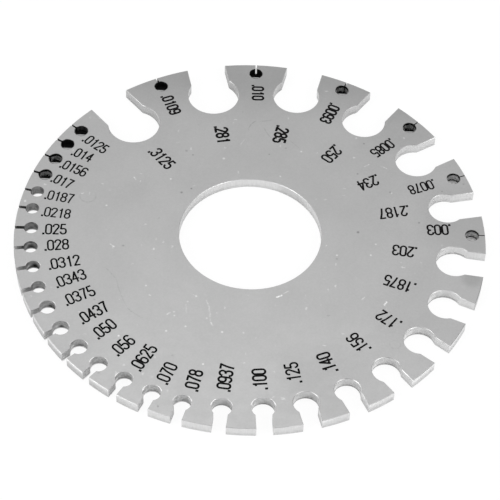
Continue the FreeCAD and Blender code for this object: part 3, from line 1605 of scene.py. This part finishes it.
@dataclass(frozen=True)
class FilledHole:
    """A fine hole with something in it: its station, its centre's distance and the fill's top, then
    how wide a strip of black painted shadow stands in the inner half of the hole's slit, if any, and
    how far from the centre the painted highlight on its near lip begins."""

    station: float
    distance: float
    top: float
    dark_spread: float = 0.0
    painted_light: float = 0.88

    def middle(self) -> Vector:
        """The middle of the hole on the plate's underside."""
        return towards(self.station) * self.distance


@dataclass
class HoleFill:
    """Plugs at the bottom of the finest relief holes: black painted shadow, and grey dust in the
    last two.
    """

    name: str
    finish: Union[BlackFillAndShadow, DustAndSheen]
    holes: tuple[FilledHole, ...]
    bottom: float = 0.05
    radius: float = 1.2
    segments: int = 32
    strip_from: float = 1.17
    strip_to: float = 1.65
    strip_top: float = 1.9

    def build(self) -> Object:
        """Makes and dresses the plugs.

        Returns:
            The piece, riding on the plate's body.
        """
        sheet = bmesh.new()
        for hole in self.holes:
            place = hole.middle() + Vector((0.0, 0.0, (hole.top + self.bottom) / 2))
            bmesh.ops.create_cone(
                sheet,
                cap_ends=True,
                segments=self.segments,
                radius1=self.radius * MM,
                radius2=self.radius * MM,
                depth=(hole.top - self.bottom) * MM,
                matrix=Matrix.Translation(place * MM),
            )
            if hole.dark_spread:
                self.strip(sheet, hole)
        piece = object_from(sheet, self.name)
        piece.data.materials.append(self.finish.material())
        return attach(piece, "root")

    def strip(self, sheet: BMesh, hole: FilledHole) -> None:
        """Stands a thin strip of black painted shadow in the inner half of a hole's slit.

        Args:
            sheet: The sheet that holds the plugs.
            hole: The hole that the strip starts from.
        """
        length = self.strip_to - self.strip_from
        size = Matrix.Diagonal((length, hole.dark_spread, self.strip_top - self.bottom, 1.0))
        middle = hole.distance + (self.strip_from + self.strip_to) / 2
        shift = Matrix.Translation((middle, 0.0, (self.strip_top + self.bottom) / 2))
        turn = turned(hole.station)
        bmesh.ops.create_cube(sheet, size=1.0, matrix=Matrix.Scale(MM, 4) @ turn @ shift @ size)


# Black plugs of painted shadow in the finest holes.
SHADOW_FILLED = (
    FilledHole(-215.8, 38.9, 0.9),
    FilledHole(-209.8, 38.9, 0.9),
    FilledHole(-203.8, 38.9, 0.4),
    FilledHole(-197.7, 38.9, 0.4),
    FilledHole(116.9, 39.0, 0.9, dark_spread=0.27, painted_light=0.97),
    FilledHole(90.1, 39.0, 0.8, dark_spread=0.07, painted_light=0.95),
    FilledHole(65.6, 39.0, 0.4, dark_spread=0.23),
    FilledHole(43.0, 39.0, 0.4, dark_spread=0.21),
)
DUSTY = (
    FilledHole(21.9, 39.0, 0.12),
    FilledHole(2.0, 39.0, 0.12),
)


@dataclass
class LipSheen:
    """A pale sheet along the near lip of each black-filled hole, a painted highlight."""

    name: str = "fine_hole_sheen"
    holes: tuple[FilledHole, ...] = SHADOW_FILLED
    radius: float = 1.19
    top: float = 1.97
    thickness: float = 0.06
    steps: int = 14

    def build(self) -> Object:
        """Makes and dresses the film.

        Returns:
            The piece, riding on the plate's body.
        """
        sheet = bmesh.new()
        for hole in self.holes:
            self.patch(sheet, hole)
        raised(sheet, -self.thickness * MM)
        piece = object_from(sheet, self.name)
        # The pale sheet is a painted highlight.
        piece.data.materials.append(DustAndSheen("lip_sheen", 0.3).material())
        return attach(piece, "root")

    def patch(self, sheet: BMesh, hole: FilledHole) -> None:
        """Lays the film's upper face over one hole's near lip.

        Args:
            sheet: The sheet that holds the patches.
            hole: The hole that it lies in.
        """
        middle = hole.middle() + Vector((0.0, 0.0, self.top))
        reach = math.degrees(math.acos(hole.painted_light / self.radius))
        angles = [reach * (2 * step / self.steps - 1) - 90 for step in range(self.steps + 1)]
        rim = [sheet.verts.new((middle + towards(angle) * self.radius) * MM) for angle in angles]
        sheet.faces.new(rim)


@dataclass(frozen=True)
class Lamp:
    """A softbox: where it stands and what it faces, in mm, its two sides and its power."""

    name: str
    place: tuple[float, float, float]
    aim: tuple[float, float, float]
    width: float
    height: float
    power: float


@dataclass
class Studio:
    """A pale floor under soft light, and the camera. The room and the floor show plain white to the
    camera, the floor with part of its own shading kept, and mirror rays see a little of it."""

    focal_pixels: float = 1953.0
    picture: int = 500
    sensor: float = 36.0
    elevation: float = 50.66
    roll: float = -2.17
    distance: float = 343.8
    slide: Point = (0.0, 1.72)
    clip: Point = (0.01, 50.0)
    floor_size: float = 6.0
    floor_gap: float = 0.01
    floor_tone: float = 0.94
    floor_roughness: float = 0.9
    room_light: float = 0.72
    floor_glow: float = 0.9
    room_glow: float = 1.0
    glow_reflected: float = 0.05
    lamps: tuple[Lamp, ...] = (
        Lamp("left_softbox", (-450, -260, 310), (0, 0, 0), 400, 400, 1.5),
        Lamp("right_softbox", (430, -290, 330), (0, 0, 0), 400, 400, 1.5),
        Lamp("top_softbox", (-50, 130, 480), (0, 0, 0), 300, 220, 0.35),
    )

    def camera(self) -> None:
        """Sets the camera up as the photograph was taken."""
        data = bpy.data.cameras.new("camera")
        data.sensor_width = self.sensor
        data.lens = self.focal_pixels / self.picture * self.sensor
        data.clip_start, data.clip_end = self.clip
        lift = math.radians(self.elevation)
        back = Vector((0.0, -math.cos(lift), math.sin(lift)))
        right = Vector((1.0, 0.0, 0.0))
        axes = Matrix((right, back.cross(right), back)).transposed()
        axes = axes @ Matrix.Rotation(-math.radians(self.roll), 3, "Z")
        place = axes @ Vector((-self.slide[0], -self.slide[1], self.distance))
        made = linked("camera", data)
        made.matrix_world = Matrix.LocRotScale(place * MM, axes.to_quaternion(), None)
        bpy.context.scene.camera = made

    def floor(self) -> None:
        """Lays the floor, which keeps a soft shadow."""
        sheet = bmesh.new()
        bmesh.ops.create_grid(sheet, x_segments=1, y_segments=1, size=self.floor_size / 2)
        bmesh.ops.translate(sheet, verts=sheet.verts, vec=(0, 0, -self.floor_gap * MM))
        piece = object_from(sheet, "floor")
        board = Board("pale_floor")
        board.put(board.shader.inputs["Base Color"], (*(self.floor_tone,) * 3, 1.0))
        board.put(board.shader.inputs["Roughness"], self.floor_roughness)
        white = board.node("ShaderNodeEmission", {"Strength": 1.0})[0]
        lit = board.shader.outputs["BSDF"]
        board.put(board.surface, self.whitened(board, lit, white, self.floor_glow))
        piece.data.materials.append(board.material)

    def sky(self) -> None:
        """Fills the room with even light."""
        world = bpy.data.worlds.new("room")
        world.use_nodes = True
        room = Wiring(world.node_tree)
        light = room.nodes["Background"]
        room.put(light.inputs["Color"], (1.0, 1.0, 1.0, 1.0))
        room.put(light.inputs["Strength"], self.room_light)
        white = room.node("ShaderNodeBackground", {"Strength": 1.0})[0]
        surface = room.nodes["World Output"].inputs["Surface"]
        room.put(surface, self.whitened(room, light.outputs[0], white, self.room_glow))
        bpy.context.scene.world = world

    def whitened(self, wiring: Wiring, lit: Socket, white: Socket, glow: float) -> Socket:
        """Mixes plain white into what is lit, by the kind of ray that sees it.

        Args:
            wiring: The node tree.
            lit: What is lit.
            white: The plain white.
            glow: The white's share for the camera, straight or through glass.

        Returns:
            The mix.
        """
        ray = wiring.node("ShaderNodeLightPath", {})
        straight = wiring.sum("MAXIMUM", ray["Is Camera Ray"], ray["Is Transmission Ray"])
        reflected = wiring.product(ray["Is Glossy Ray"], self.glow_reflected)
        share = wiring.sum("MULTIPLY_ADD", straight, glow, reflected)
        return wiring.node("ShaderNodeMixShader", {0: share, 1: lit, 2: white})[0]

    def lamp(self, lamp: Lamp) -> None:
        """Hangs one softbox.

        Args:
            lamp: The softbox.
        """
        data = bpy.data.lights.new(lamp.name, "AREA")
        data.shape = "RECTANGLE"
        data.size, data.size_y = lamp.width * MM, lamp.height * MM
        data.energy = lamp.power
        place, aim = Vector(lamp.place) * MM, Vector(lamp.aim) * MM
        turn = (aim - place).to_track_quat("-Z", "Y")
        linked(lamp.name, data).matrix_world = Matrix.LocRotScale(place, turn, None)

    def build(self) -> None:
        """Sets up camera, floor, room and lamps."""
        self.camera()
        self.floor()
        self.sky()
        for lamp in self.lamps:
            self.lamp(lamp)
        bpy.context.scene.view_settings.view_transform = "Standard"


def report(piece: Object) -> None:
    """Says how large a finished piece is.

    Args:
        piece: The piece.
    """
    low, high = (Vector(map(end, zip(*(v.co for v in piece.data.vertices)))) for end in (min, max))
    size = " x ".join(f"{side / MM:.2f}" for side in high - low)
    log.info("%s: %d faces, %s mm", piece.name, len(piece.data.polygons), size)


def main() -> None:
    """Builds the scene in order and reports each piece."""
    Studio().build()
    numbers = SizeNumbers()
    plate, engraved = GaugePlate().build(numbers)
    report(plate)
    report(numbers.build(engraved))
    # Black painted shadow in the finest holes.
    report(HoleFill("fine_hole_fill", BlackFillAndShadow("hole_shadow_fill"), SHADOW_FILLED).build())
    report(HoleFill("fine_hole_dust", DustAndSheen(), DUSTY).build())
    report(LipSheen().build())


if __name__ == "__main__":
    main()
